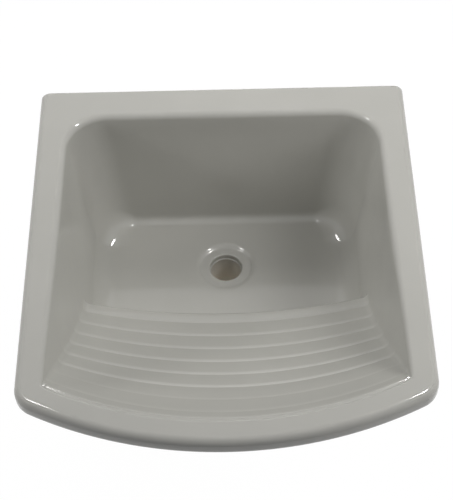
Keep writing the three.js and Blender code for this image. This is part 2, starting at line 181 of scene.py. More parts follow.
# ==================================================================== Basin
# One slip-cast piece of white ceramic with a glossy warm glaze: flat rim with a rolled edge,
# tapered bowl, ribbed wash board that climbs to the bowed front, and the rear skirt by which
# it hangs. The board is about one wall thick and open underneath.

basin_low, basin_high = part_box("basin")
half_width = basin_high.x
rim_top = basin_high.z
front_bow = 0.065
rim_thickness = 0.026
rim_rounding = 0.009
rear_rounding = 0.003
rim_rear_corner = 0.007
rim_front_corner = 0.032
bow_radius = (half_width ** 2 + front_bow ** 2) / (2 * front_bow)

opening_half_width = half_width - 0.031
rear_ledge = 0.0418
front_ledge = 0.028
opening_crown = basin_low.y + front_ledge
opening_bow_radius = bow_radius - front_ledge
opening_centre = opening_crown + opening_bow_radius
opening_rear_corner = 0.062
opening_front_corner = 0.018
opening_flare = 0.0025
opening_rounding = 0.008
front_edge_rounding = 0.0045

wall = 0.012
bowl_depth = rim_top - basin_low.z - wall
side_draft = 0.030
rear_draft = 0.020
floor_rear_corner = 0.058
side_floor_fillet = 0.028
rear_floor_fillet = 0.013
corner_extra = 0.020
board_side_fillet = 0.008

crest_from_wall = 0.276
crest_bow = 0.030
crest_height = 0.050
crest_roll = 0.0028
crest_roll_run = 0.017
crest_nose = 0.007
crest_land = 0.0207
crest_draft = 0.006
crest_foot_fillet = 0.020
crest_radius = (opening_half_width ** 2 + crest_bow ** 2) / (2 * crest_bow)
board_end_drop = 0.003
board_end_margin = 0.008
board_start_share = 0.7
rib_pitch = 0.0311
rib_height = 0.0016
drop_share = 0.18

waste_from_wall = 0.157

RIGHT_ANGLE = math.pi / 2


def mix(a, b, t):
    """From a to b by the share t."""
    return a + (b - a) * t


def bend(a, b, c, t):
    """Share t of the way along a curve that leaves a towards b and reaches c from b."""
    return a * (1 - t) ** 2 + b * 2 * t * (1 - t) + c * t * t


def smooth_step(t):
    """0 up to 0, 1 from 1, and a soft climb between."""
    t = np.clip(t, 0, 1)
    return t * t * (3 - 2 * t)


def sag(radius, x):
    """How far an arc has fallen back at x from its middle; level beyond nearly its radius."""
    end = radius * 0.99
    return radius - np.sqrt(radius ** 2 - np.minimum(np.abs(x), end) ** 2)


# Columns run down the walls. Half of them, from the crown of the bow to the middle of the
# rear, stand on five stretches: bow, front corner, side, rear corner, rear.
stretch_counts = (60, 14, 300, 22, 34)
stretch_half = np.concatenate([np.full(n, i) for i, n in enumerate(stretch_counts)])
along_half = np.concatenate([(np.arange(n)) / n for n in stretch_counts])
stretch = np.concatenate([stretch_half, [4], stretch_half[:0:-1]])
along = np.concatenate([along_half, [1.0], along_half[:0:-1]])
hand = np.concatenate([np.ones(len(stretch_half) + 1), -np.ones(len(stretch_half) - 1)])
columns = len(stretch)


def pan_ring(side, rear, crown, radius, rear_corner, front_corner, flare=0.0):
    """Plan points of all columns on one outline, and the directions square to it, inwards.
    The sides open by `flare` from the rear to the front."""
    centre = crown + radius
    corner_x = side + flare - front_corner
    corner_y = centre - np.sqrt((radius - front_corner) ** 2 - corner_x ** 2)
    bow_angle = np.arctan2(corner_x, centre - corner_y)
    bow = bow_angle * along
    front = (bow_angle - RIGHT_ANGLE) * (1 - along)
    turn = RIGHT_ANGLE * along
    full = np.ones(columns)
    pick = [stretch == i for i in range(5)]
    x = np.select(pick, [
        radius * np.sin(bow),
        corner_x + front_corner * np.cos(front),
        side + flare * (1 - along),
        side - rear_corner + rear_corner * np.cos(turn),
        (side - rear_corner) * (1 - along),
    ])
    y = np.select(pick, [
        centre - radius * np.cos(bow),
        corner_y + front_corner * np.sin(front),
        mix(corner_y, rear - rear_corner, along),
        rear - rear_corner + rear_corner * np.sin(turn),
        rear * full,
    ])
    in_x = np.select(pick, [-np.sin(bow), -np.cos(front), -full, -np.cos(turn), 0 * full])
    in_y = np.select(pick, [np.cos(bow), -np.sin(front), 0 * full, -np.sin(turn), -full])
    return np.stack([x * hand, y], 1), np.stack([in_x * hand, in_y], 1)


def rim_ring(turn):
    """Outer edge of the rim, drawn in by the share `turn` of its roundings."""
    points, _ = pan_ring(
        half_width - rim_rounding * turn, -rear_rounding * turn,
        basin_low.y + rim_rounding * turn, bow_radius - rim_rounding * turn,
        rim_rear_corner, rim_front_corner - rim_rounding * turn,
    )
    return points


def bowl_ring(depth):
    """Bowl outline at a depth below the rim, before the wall's own thickness or rounding."""
    share = depth / bowl_depth
    return pan_ring(
        opening_half_width - side_draft * share, -rear_ledge - rear_draft * share,
        opening_crown, opening_bow_radius,
        mix(opening_rear_corner, floor_rear_corner, share), opening_front_corner,
        opening_flare,
    )


def bowl_wall(depth, inward):
    """Plan points on a wall that stands `inward` of that outline."""
    points, normals = bowl_ring(depth)
    return points + normals * np.reshape(inward, (-1, 1)), normals


# The floor of the bowl, the drop and the board, as one height over every plan point.

def crest_line(x):
    """Where the crest runs: y at x."""
    return -crest_from_wall + sag(crest_radius, x)


def end_line(x):
    """Where the board ends at the front ledge: y at x."""
    return opening_crown + board_end_margin + sag(opening_bow_radius - board_end_margin, x)


def board_share(x, y):
    """0 at the crest, 1 where the board meets the front ledge."""
    return (crest_line(x) - y) / (crest_line(x) - end_line(x))


board_length = crest_line(0) - end_line(0)
crest_depth = bowl_depth - crest_height
board_rise = crest_depth - board_end_drop
before_crest = -0.2


def plain_board(t):
    """Height of the board without its ribs."""
    t = np.clip(t, before_crest, 1)
    return -crest_depth + board_rise * (board_start_share * t + (1 - board_start_share) * t * t)


def roll(back):
    """How far the strip in front of the crest stands over the board's slope."""
    return crest_roll * (1 - smooth_step((-back - crest_nose / 2) / crest_roll_run))


def board_slope(t):
    """Rise of the plain board per metre towards the front."""
    return board_rise / board_length * (board_start_share + 2 * (1 - board_start_share) * t)


first_valley = crest_land / board_length
pitch_share = rib_pitch / board_length
low_ribs_from = 5.0
low_rib_share = 0.35


def rib_cut(t):
    """Depth below the ribs' tops. Each rib climbs roundly from its valley and drops steeply
    on the side of the front ledge, near which the ribs are lower."""
    place = np.maximum((t - first_valley) / pitch_share, -drop_share)
    within = place % 1
    climb = np.sin(RIGHT_ANGLE * within / (1 - drop_share))
    drop = np.cos(RIGHT_ANGLE * (within - 1 + drop_share) / drop_share)
    height = rib_height * mix(1, low_rib_share, smooth_step(place - low_ribs_from))
    return height * (1 - np.where(within < 1 - drop_share, climb, drop))


groove_from_edge = 0.0058
groove_flank = 0.0032
groove_depth = 0.0010


def front_groove(x, y):
    """Narrow groove between the last rib and the front ledge."""
    from_edge = opening_bow_radius - np.hypot(x, y - opening_centre)
    beyond = np.maximum(from_edge - groove_from_edge, 0) / groove_flank
    return groove_depth * np.exp(-beyond ** 2)


def crest_profile(nose, foot):
    """Drop behind the crest: distances back from the crest line, and shares of its height."""
    lean = math.atan2(crest_draft, crest_height)
    start = math.atan(board_slope(0))
    turn = np.linspace(start, RIGHT_ANGLE - lean, 9)
    back = nose * (np.sin(turn) - 1)
    fall = nose * (np.cos(start) - np.cos(turn))
    turn = np.linspace(RIGHT_ANGLE - lean, 0, 12)
    foot_fall = crest_height - foot * (1 - np.cos(turn))
    drop_back = back[-1] + (foot_fall[0] - fall[-1]) * math.tan(lean)
    foot_back = drop_back + foot * (np.cos(lean) - np.sin(turn))
    back = np.concatenate([back, foot_back])
    fall = np.concatenate([fall, foot_fall])
    return back, 1 - fall / crest_height


inner_back, inner_share = crest_profile(crest_nose, crest_foot_fillet)


def inner_surface(x, y):
    """Height of the bowl's floor, drop and board, below the rim."""
    back = y - crest_line(x)
    t = board_share(x, y)
    board = plain_board(t) - rib_cut(t) - front_groove(x, y) + roll(back)
    top = plain_board(board_share(x, crest_line(x) + inner_back[0])) + roll(inner_back[0])
    drop = -bowl_depth + (top + bowl_depth) * np.interp(back, inner_back, inner_share)
    return np.where(back > inner_back[0], drop, board)


meet_steps = 420
below_casting = 0.001


def meet(surface, inward, start):
    """Depth at which each wall column reaches a surface, looked for from `start` down."""
    found = np.full(columns, np.nan)
    before = None
    lowest = bowl_depth + wall
    for share in np.linspace(0, 1, meet_steps):
        depth = mix(start, lowest + below_casting, share)
        points, _ = bowl_wall(depth, inward)
        over = -depth - surface(points[:, 0], points[:, 1])
        if before is not None:
            hit = np.isnan(found) & (over <= 0)
            part = before[1] / np.maximum(before[1] - over, 1e-9)
            found[hit] = mix(before[0], depth, np.clip(part, 0, 1))[hit]
        before = (depth, over)
    return np.where(np.isnan(found), lowest, found)


def by_stretch(bow, front_corner, side, rear_corner, rear):
    """One value per column from a value or an array per stretch."""
    full = np.ones(columns)
    return np.select([stretch == i for i in range(5)],
                     [full * v for v in (bow, front_corner, side, rear_corner, rear)])


# Rounding of the opening's edge, and fillets at the foot of the walls, one value per column
floor_fillet_run = 0.035
board_fillet_run = 0.050
edge_run = 0.240
edge_room = 0.85
front_fillet = 0.0012
front_corner_fillet = 0.004
column_y = bowl_ring(0.0)[0][:, 1]
side_start = column_y[stretch_counts[0] + stretch_counts[1]]
behind_crest = (column_y - crest_line(opening_half_width)) / floor_fillet_run
behind_corner = (column_y - side_start) / board_fillet_run
edge_growth = (column_y - side_start) / edge_run
whole_edge = by_stretch(
    front_edge_rounding, front_edge_rounding,
    mix(front_edge_rounding, opening_rounding, smooth_step(edge_growth)),
    opening_rounding, opening_rounding,
)
edge_foot, _ = bowl_wall(whole_edge, whole_edge)
edge = np.minimum(whole_edge, -edge_room * inner_surface(edge_foot[:, 0], edge_foot[:, 1]))
board_fillet = mix(front_corner_fillet, board_side_fillet, smooth_step(behind_corner))
rear_corner_fillet = mix(side_floor_fillet, rear_floor_fillet, smooth_step(along))
inner_fillet = by_stretch(
    front_fillet, mix(front_fillet, front_corner_fillet, along),
    mix(board_fillet, side_floor_fillet, smooth_step(behind_crest)),
    rear_corner_fillet + corner_extra * np.sin(np.pi * along), rear_floor_fillet,
)

body_points = []
body_faces = []


def add_ring(points, heights):
    """Adds a ring of points and returns where it starts."""
    start = len(body_points)
    heights = np.broadcast_to(heights, (len(points),))
    body_points.extend((x, y, z) for (x, y), z in zip(points.tolist(), heights.tolist()))
    return start


def join_rings(rings, count):
    """Faces between rings of `count` points that follow each other."""
    for a, b in zip(rings, rings[1:]):
        for i in range(count):
            j = (i + 1) % count
            body_faces.append((a + i, a + j, b + j, b + i))


least_wall = 0.0006
fillet_room = 0.8
flat_step = 0.0004


def wall_rings(surface, inward, start, fillet, wall_steps, fillet_steps):
    """A wall from `start` down to a surface, and its fillet there. Where there is no room for
    a wall, the rings step inwards over the surface instead."""
    depth = meet(surface, inward, start)
    no_wall = depth - start < least_wall
    fillet = np.minimum(fillet, fillet_room * np.maximum(depth - start, least_wall))
    rings = []
    for i in range(wall_steps + 1):
        level = mix(start, depth - fillet, i / wall_steps)
        points, _ = bowl_wall(level, inward)
        rings.append((points, -level))
    corner, normals = bowl_wall(depth, inward)
    foot = corner + normals * fillet[:, None]
    foot_height = surface(foot[:, 0], foot[:, 1])
    top, top_height = rings[-1]
    for i in range(1, fillet_steps + 1):
        t = i / fillet_steps
        rings.append((bend(top, corner, foot, t), bend(top_height, -depth, foot_height, t)))
    stepped = []
    for i, (plan, height) in enumerate(rings):
        over, _ = bowl_wall(start, inward + flat_step * i)
        over_height = surface(over[:, 0], over[:, 1])
        plan = np.where(no_wall[:, None], over, plan)
        stepped.append((plan, np.where(no_wall, over_height, height)))
    return stepped


def inside(loop, points):
    """Which plan points lie inside a closed loop."""
    x, y = points[:, 0][:, None], points[:, 1][:, None]
    ax, ay = loop[:, 0][None], loop[:, 1][None]
    bx, by = np.roll(ax, -1, 1), np.roll(ay, -1, 1)
    crosses = (ay > y) != (by > y)
    level = np.where(by == ay, 1e-12, by - ay)
    return (crosses & (x < ax + (y - ay) * (bx - ax) / level)).sum(1) % 2 == 1


loop_parts = 12


def near(loop, points, distance):
    """Which plan points lie closer than `distance` to the loop's own points."""
    close = np.zeros(len(points), bool)
    for part in np.array_split(loop, loop_parts):
        gap = points[:, None] - part[None]
        close |= np.hypot(gap[..., 0], gap[..., 1]).min(1) < distance
    return close


plan_tolerance = 1e-7


def fill(loop, loop_start, hole, hole_start, rows, surface, margin):
    """Fills the plan between a loop and a round hole with rows of points on a surface. Points
    nearer than `margin` to the loop are left out."""
    points = [tuple(p) for p in loop.tolist()] + [tuple(p) for p in hole.tolist()]
    index = [loop_start + i for i in range(len(loop))] + [hole_start + i for i in range(len(hole))]
    edges = [(i, (i + 1) % len(loop)) for i in range(len(loop))]
    edges += [(len(loop) + i, len(loop) + (i + 1) % len(hole)) for i in range(len(hole))]
    hole_centre = hole.mean(0)
    hole_radius = np.hypot(*(hole[0] - hole_centre))
    for row in rows:
        keep = inside(loop, row) & ~near(loop, row, margin)
        keep &= np.hypot(*(row - hole_centre).T) > hole_radius + 2 * margin
        clear = keep & ~near(loop, row, 4 * margin)
        heights = surface(row[:, 0], row[:, 1])
        last = None
        for i, (x, y) in enumerate(row.tolist()):
            if not keep[i]:
                last = None
                continue
            points.append((x, y))
            index.append(len(body_points))
            body_points.append((x, y, float(heights[i])))
            if last is not None and clear[i]:
                edges.append((last, len(points) - 1))
            last = len(points) - 1 if clear[i] else None
    flat = [Vector(p) for p in points]
    made, _, triangles, origin, _, _ = delaunay_2d_cdt(flat, edges, [], 0, plan_tolerance)
    plan = np.array([(p.x, p.y) for p in made])
    heights = surface(plan[:, 0], plan[:, 1])
    place = []
    for i, sources in enumerate(origin):
        if sources:
            place.append(index[sources[0]])
        else:
            place.append(len(body_points))
            body_points.append((*plan[i].tolist(), float(heights[i])))
    middles = plan[np.array(triangles)].mean(1)
    keep = inside(loop, middles) & ~inside(hole, middles)
    for triangle, kept in zip(triangles, keep):
        if kept:
            body_faces.append(tuple(place[i] for i in triangle))


# Upper skin: rolled rim edge, flat rim, opening edge, walls, fillets
rounding = np.linspace(0, RIGHT_ANGLE, 8)
upper_rings = []
for angle in rounding:
    upper_rings.append((rim_ring(1 - np.cos(angle)), -rim_rounding * (1 - np.sin(angle))))
flat_edge = upper_rings[-1][0]
opening = bowl_ring(0.0)[0]
for share in (0.04, 0.5, 0.94):
    upper_rings.append((mix(flat_edge, opening, share), 0.0))
for angle in rounding:
    points, _ = bowl_wall(edge * (1 - np.cos(angle)), edge * np.sin(angle))
    upper_rings.append((points, -edge * (1 - np.cos(angle))))
upper_rings += wall_rings(inner_surface, edge, edge, inner_fillet, 14, 10)[1:]
upper = [add_ring(points, heights) for points, heights in upper_rings]
join_rings(upper, columns)
upper_loop = upper_rings[-1][0]

# Recess and hole for the waste
hole_count = 96
hole_turn = np.arange(hole_count) * 2 * math.pi / hole_count
waste_low, waste_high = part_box("waste_body")
flange_radius = waste_high.x
flange_room = 0.0001
flange_sink = rim_top - bowl_depth - waste_high.z
recess_radius = flange_radius + flange_room
recess_depth = 0.0062
recess_shoulder = 0.014
waste_hole_radius = 0.0265
glaze_edge = 0.0006


def hole_ring(radius):
    """Plan points of a circle about the waste."""
    return np.stack([radius * np.cos(hole_turn), -waste_from_wall + radius * np.sin(hole_turn)], 1)


steepest = math.acos(1 - flange_sink / recess_shoulder)
hole_levels = [(recess_radius + recess_shoulder * (math.sin(steepest) - math.sin(a)),
                -bowl_depth - recess_shoulder * (1 - math.cos(a)))
               for a in np.linspace(0, steepest, 8)]
recess_bottom = -bowl_depth - recess_depth
casting_bottom = -bowl_depth - wall
hole_levels += [
    (recess_radius, -bowl_depth - flange_sink - glaze_edge / 2),
    (recess_radius, recess_bottom + glaze_edge), (recess_radius - glaze_edge, recess_bottom),
    (waste_hole_radius + glaze_edge, recess_bottom),
    (waste_hole_radius, recess_bottom - glaze_edge),
    (waste_hole_radius, casting_bottom + glaze_edge),
    (waste_hole_radius + glaze_edge, casting_bottom),
]
hole_rings = [add_ring(hole_ring(radius), height) for radius, height in hole_levels]
join_rings(hole_rings, hole_count)

# Rows of points across the floor, down the drop and over the ribs
across = np.linspace(-opening_half_width, opening_half_width, 75)
floor_run, floor_step = 0.300, 0.008
last_rib_share = 0.995
nearest_front_row = 0.0052
upper_margin = 0.0007
half_rib = np.array([0, 0.012, 0.03, 0.055, 0.09, 0.14, 0.2, 0.28, 0.38, 0.5])
whole_rib = np.concatenate([half_rib, 1 - half_rib[-2:0:-1]])
rib_count = math.ceil((1 - first_valley) / pitch_share)
rib_places = np.concatenate([i + whole_rib for i in range(-1, rib_count)])
rib_shares = first_valley + pitch_share * rib_places[rib_places >= -0.5]
row_lines = [crest_line(across) + inner_back[-1] + back
             for back in np.arange(floor_run, 0.0, -floor_step)]
row_lines += [crest_line(across) + back for back in inner_back[::-1]]
row_lines += [mix(crest_line(across), end_line(across), t)
              for t in rib_shares[rib_shares < last_rib_share]]
row_lines += [opening_centre - np.sqrt((opening_bow_radius - from_edge) ** 2 - across ** 2)
              for from_edge in np.linspace(board_end_margin, nearest_front_row, 9)]
upper_rows = [np.stack([across, y], 1) for y in row_lines]
fill(upper_loop, upper[-1], hole_ring(hole_levels[0][0]), hole_rings[0], upper_rows,
     inner_surface, upper_margin)

# Under skin: rim edge, flat underside, cove, outer walls, open space under the board
under_nose, under_foot = 0.010, crest_foot_fillet + wall
outer_back, outer_share = crest_profile(under_nose, under_foot)
under_blend = 0.004


def outer_surface(x, y):
    """Height of the casting's underside, below the rim."""
    back = y - crest_line(x) + wall
    t = board_share(x, y)
    board = plain_board(t) - wall * np.hypot(1, board_slope(np.clip(t, 0, 1)))
    start = board_share(x, crest_line(x) - wall + outer_back[0])
    top = plain_board(start) - wall * np.hypot(1, board_slope(start))
    climb = np.interp(back, outer_back, outer_share)
    drop = casting_bottom + (top + bowl_depth + wall) * climb
    under = np.where(back > outer_back[0], drop, board)
    lean = np.clip(0.5 + 0.5 * (under + rim_thickness) / under_blend, 0, 1)
    return mix(under, -rim_thickness, lean) - under_blend * lean * (1 - lean)


under_rings = []
for angle in rounding:
    level = -rim_thickness + rim_rounding * (1 - np.sin(angle))
    under_rings.append((rim_ring(1 - np.cos(angle)), level))
under_edge = under_rings[-1][0]
outer_inward = opening_rounding - wall
wall_start = np.full(columns, rim_thickness)
outer_depth = meet(outer_surface, outer_inward, wall_start)
full_cove, least_cove, cove_share = 0.010, 0.0012, 0.45
cove_room = cove_share * (outer_depth - rim_thickness)
cove = np.where(cove_room > least_wall, np.minimum(cove_room, full_cove), 0)
cove_plan, cove_normal = bowl_wall(wall_start, outer_inward)
cove_start = cove_plan - cove_normal * np.maximum(cove, least_cove)[:, None]
cove_end, _ = bowl_wall(wall_start + cove, outer_inward)
for share in (0.06, 0.5):
    under_rings.append((mix(under_edge, cove_start, share), -rim_thickness))
for t in np.linspace(0, 1, 6):
    under_rings.append((bend(cove_start, cove_plan, cove_end, t), -rim_thickness - cove * t * t))
under_board_fillet = 0.010
outer_side_fillet = side_floor_fillet + wall
outer_fillet = by_stretch(
    under_board_fillet, under_board_fillet,
    mix(under_board_fillet, outer_side_fillet, smooth_step(behind_crest + 0.5)),
    rear_corner_fillet + wall, rear_floor_fillet + wall,
)
under_rings += wall_rings(outer_surface, outer_inward, wall_start + cove, outer_fillet, 10, 8)[1:]
lower = [add_ring(points, heights) for points, heights in under_rings]
join_rings([upper[0]] + lower, columns)
lower_loop = under_rings[-1][0]
coarse_half = opening_half_width + 0.01
coarse = np.linspace(-coarse_half, coarse_half, 41)
under_run, under_step = 0.310, 0.016
lower_margin = 0.002
row_lines = [crest_line(coarse) - wall + outer_back[-1] + back
             for back in np.arange(under_run, 0.0, -under_step)]
row_lines += [crest_line(coarse) - wall + back for back in outer_back[::-1]]
row_lines += [mix(crest_line(coarse), end_line(coarse), t) for t in np.linspace(0.10, 1.0, 30)]
under_rows = [np.stack([coarse, y], 1) for y in row_lines]
fill(lower_loop, lower[-1], hole_ring(hole_levels[-1][0]), hole_rings[-1], under_rows,
     outer_surface, lower_margin)

casting_points = np.array(body_points)
casting_points[:, 2] += rim_top
same_place = 0.000001


def mesh_object(name, points, faces):
    """A smooth object from points and faces, with doubled points merged and faces out."""
    mesh = bpy.data.meshes.new(name)
    mesh.from_pydata([tuple(p) for p in np.asarray(points).tolist()], [], faces)
    work = bmesh.new()
    work.from_mesh(mesh)
    bmesh.ops.remove_doubles(work, verts=work.verts, dist=same_place)
    bmesh.ops.dissolve_degenerate(work, dist=same_place, edges=work.edges)
    bmesh.ops.recalc_face_normals(work, faces=work.faces)
    work.to_mesh(mesh)
    work.free()
    mesh.polygons.foreach_set("use_smooth", [True] * len(mesh.polygons))
    piece = bpy.data.objects.new(name, mesh)
    bpy.context.scene.collection.objects.link(piece)
    return piece


def turned(name, profile, sides, shape=None):
    """A piece turned about Z from a closed profile of (radius, height); `shape` may change
    the radius by angle and height, for threads, flats and lugs."""
    angles = np.arange(sides) * 2 * math.pi / sides
    radii = np.array([r for r, _ in profile])[:, None] + 0 * angles
    heights = np.array([z for _, z in profile])[:, None] + 0 * angles
    turns = angles + 0 * radii
    if shape is not None:
        radii = shape(turns, radii, heights)
    points = np.stack([radii * np.cos(turns), radii * np.sin(turns), heights], 2).reshape(-1, 3)
    faces = []
    for i in range(len(profile)):
        if profile[i][0] == profile[(i + 1) % len(profile)][0] == 0:
            continue
        for k in range(sides):
            a, b = i * sides + k, i * sides + (k + 1) % sides
            c = (i + 1) % len(profile) * sides
            faces.append((a, b, c + (k + 1) % sides, c + k))
    return mesh_object(name, points, faces)


def combine(piece, tool, operation):
    """Joins or cuts a piece with a tool, and deletes the tool."""
    change = piece.modifiers.new(operation.lower(), "BOOLEAN")
    change.operation = operation
    change.object = tool
    change.solver = "MANIFOLD"
    bpy.context.view_layer.update()
    graph = bpy.context.evaluated_depsgraph_get()
    result = bpy.data.meshes.new_from_object(piece.evaluated_get(graph))
    piece.modifiers.clear()
    piece.data = result
    result.materials.clear()
    bpy.data.objects.remove(tool)


casting = mesh_object("basin_casting", casting_points, body_faces)

# Rear skirt: a plate under the rear ledge, its face flush with the wall, with two bolt holes
skirt_thickness = 0.014
skirt_drop = 0.130
skirt_inset = 0.014
skirt_half = half_width - skirt_inset
skirt_corner = 0.022
skirt_rounding = 0.0025
skirt_bevel = 0.0007
bolt_hole_radius = 0.00935
drill_half = 0.02
bolt_low, bolt_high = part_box("wall_bolt_right")
bolt_x = (bolt_low.x + bolt_high.x) / 2

turn = np.linspace(0, RIGHT_ANGLE, 12)
corner_x = skirt_half - skirt_corner + skirt_corner * np.sin(turn)
corner_z = rim_top - skirt_drop + skirt_corner * (1 - np.cos(turn))
skirt_top = rim_top - rim_thickness / 2
plate_x = np.concatenate([corner_x, [skirt_half, -skirt_half], -corner_x[::-1]])
plate_z = np.concatenate([corner_z, [skirt_top, skirt_top], corner_z[::-1]])
plate_count = len(plate_x)
corner_centre_z = rim_top - skirt_drop + skirt_corner
plate = []
for y, inset in ((0.0, skirt_rounding), (-skirt_bevel, skirt_bevel), (-skirt_rounding, 0.0),
                 (-skirt_thickness + skirt_rounding, 0.0),
                 (-skirt_thickness + skirt_bevel, skirt_bevel),
                 (-skirt_thickness, skirt_rounding)):
    x = plate_x - np.sign(plate_x) * inset
    raised = plate_z + inset * (corner_centre_z - plate_z) / skirt_corner
    z = np.where(plate_z < corner_centre_z, raised, plate_z)
    plate += np.stack([x, np.full(plate_count, y), z], 1).tolist()
plate_faces = [tuple(range(plate_count)), tuple(range(5 * plate_count, 6 * plate_count))]
for near_ring in range(0, 5 * plate_count, plate_count):
    far_ring = near_ring + plate_count
    for i in range(plate_count):
        j = (i + 1) % plate_count
        plate_faces.append((near_ring + i, near_ring + j, far_ring + j, far_ring + i))
skirt = mesh_object("skirt", plate, plate_faces)
for x in (-bolt_x, bolt_x):
    drill = turned("drill", [(0, -drill_half), (bolt_hole_radius, -drill_half),
                             (bolt_hole_radius, drill_half), (0, drill_half)], 48)
    drill.data.transform(Matrix.Translation((x, 0, 0)) @ Matrix.Rotation(RIGHT_ANGLE, 4, "X"))
    combine(skirt, drill, "DIFFERENCE")
combine(casting, skirt, "UNION")
casting.data.set_sharp_from_angle(angle=math.radians(40))

glaze = bpy.data.materials.new("warm white glaze")
glaze.use_nodes = True
glaze_tree = glaze.node_tree
gloss = glaze_tree.nodes["Principled BSDF"]
gloss.inputs["IOR"].default_value = 1.5
glaze_place = glaze_tree.nodes.new("ShaderNodeTexCoord")
cloud = glaze_tree.nodes.new("ShaderNodeTexNoise")
cloud.inputs["Scale"].default_value = 9.0
cloud.inputs["Detail"].default_value = 3.0
glaze_tree.links.new(glaze_place.outputs["Object"], cloud.inputs["Vector"])
tint = glaze_tree.nodes.new("ShaderNodeValToRGB")
tint.color_ramp.elements[0].position = 0.35
tint.color_ramp.elements[0].color = (0.478, 0.474, 0.444, 1)
tint.color_ramp.elements[1].position = 0.70
tint.color_ramp.elements[1].color = (0.500, 0.495, 0.465, 1)
glaze_tree.links.new(cloud.outputs["Fac"], tint.inputs["Fac"])
glaze_tree.links.new(tint.outputs["Color"], gloss.inputs["Base Color"])
shine = glaze_tree.nodes.new("ShaderNodeMapRange")
shine.inputs["From Min"].default_value = 0.3
shine.inputs["From Max"].default_value = 0.7
shine.inputs["To Min"].default_value = 0.06
shine.inputs["To Max"].default_value = 0.11
glaze_tree.links.new(cloud.outputs["Fac"], shine.inputs["Value"])
glaze_tree.links.new(shine.outputs["Result"], gloss.inputs["Roughness"])
ripple = glaze_tree.nodes.new("ShaderNodeTexNoise")
ripple.inputs["Scale"].default_value = 38.0
ripple.inputs["Detail"].default_value = 2.0
glaze_tree.links.new(glaze_place.outputs["Object"], ripple.inputs["Vector"])
uneven = glaze_tree.nodes.new("ShaderNodeBump")
uneven.inputs["Strength"].default_value = 0.25
uneven.inputs["Distance"].default_value = 0.0004
glaze_tree.links.new(ripple.outputs["Fac"], uneven.inputs["Height"])
glaze_tree.links.new(uneven.outputs["Normal"], gloss.inputs["Normal"])
casting.data.materials.append(glaze)
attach(casting, "root")
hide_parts("basin")

# ==================================================================== Waste body
# Flange and threaded tail of the waste, moulded in one in white plastic. The flange lies in
# the recess of the bowl, dished towards the throat, and a ledge inside is there for a strainer.

tail_bottom = waste_low.z
flange_top = waste_high.z
flange_thickness = 0.0026
flange_bottom = flange_top - flange_thickness
tail_radius = 0.024
neck_radius = 0.025
throat_radius = 0.02275
bore_radius = 0.0205
throat_lip = 0.002
ledge_depth = 0.008
ledge_radius = 0.0214
ledge_rounding = 0.0005
dish = 0.0012
dish_crowding = 1.6
edge_radius = 0.0003
neck_room = 0.0003
neck_edge = 0.0004
tail_chamfer = 0.0008
bore_run = 0.025
waste_pitch = 0.002309
waste_thread_depth = 0.0012
thread_start = 0.001
thread_fade = 0.003
thread_steps = 6


def tooth(turns):
    """Rounded thread form: 0 at the crest, 1 at the root, once per turn."""
    return 0.5 - 0.5 * np.cos(2 * math.pi * turns)


neck_end = rim_top - bowl_depth - wall + neck_room
throat_top = flange_top - dish
ledge_top = throat_top - ledge_depth


def waste_thread(turns, radii, heights):
    """Thread on the tail, run out at both ends."""
    fade = smooth_step((heights - tail_bottom) / thread_fade)
    fade = fade * smooth_step((neck_end - heights) / thread_fade)
    groove = waste_thread_depth * fade * tooth(heights / waste_pitch - turns / (2 * math.pi))
    return np.where(np.abs(radii - tail_radius) < same_place, radii - groove, radii)


lip_turns = np.linspace(0, RIGHT_ANGLE, 8)
thread_heights = np.arange(tail_bottom + thread_start, neck_end, waste_pitch / thread_steps)
flange_slope = math.tan(steepest)
dish_run = flange_radius - throat_radius - throat_lip
dish_power = flange_slope * dish_run / dish
waste_profile = [(bore_radius + tail_chamfer, tail_bottom),
                 (tail_radius - thread_start, tail_bottom)]
waste_profile += [(tail_radius, z) for z in thread_heights]
waste_profile += [
    (neck_radius - neck_edge, neck_end), (neck_radius, neck_end + neck_edge),
    (neck_radius, flange_bottom), (flange_radius - edge_radius, flange_bottom),
    (flange_radius, flange_bottom + edge_radius),
]
for share in np.linspace(0, 1, 25)[:-1] ** dish_crowding:
    fall = dish * (1 - (1 - share) ** dish_power)
    waste_profile.append((flange_radius - dish_run * share, flange_top - fall))
waste_profile += [
    (throat_radius + throat_lip * (1 - math.sin(a)), throat_top - throat_lip * (1 - math.cos(a)))
    for a in lip_turns]
waste_profile += [
    (throat_radius - ledge_rounding * (1 - math.cos(a)),
     ledge_top + ledge_rounding * (1 - math.sin(a)))
    for a in lip_turns]
waste_profile += [
    (ledge_radius + ledge_rounding * (1 - math.sin(a)),
     ledge_top - ledge_rounding * (1 - math.cos(a)))
    for a in lip_turns]
waste_profile += [(bore_radius, ledge_top - bore_run), (bore_radius, tail_bottom + tail_chamfer)]
waste = turned("waste_flange_and_tail", waste_profile, 96, waste_thread)
waste.data.transform(Matrix.Translation((0, -waste_from_wall, 0)))
waste.data.set_sharp_from_angle(angle=math.radians(50))


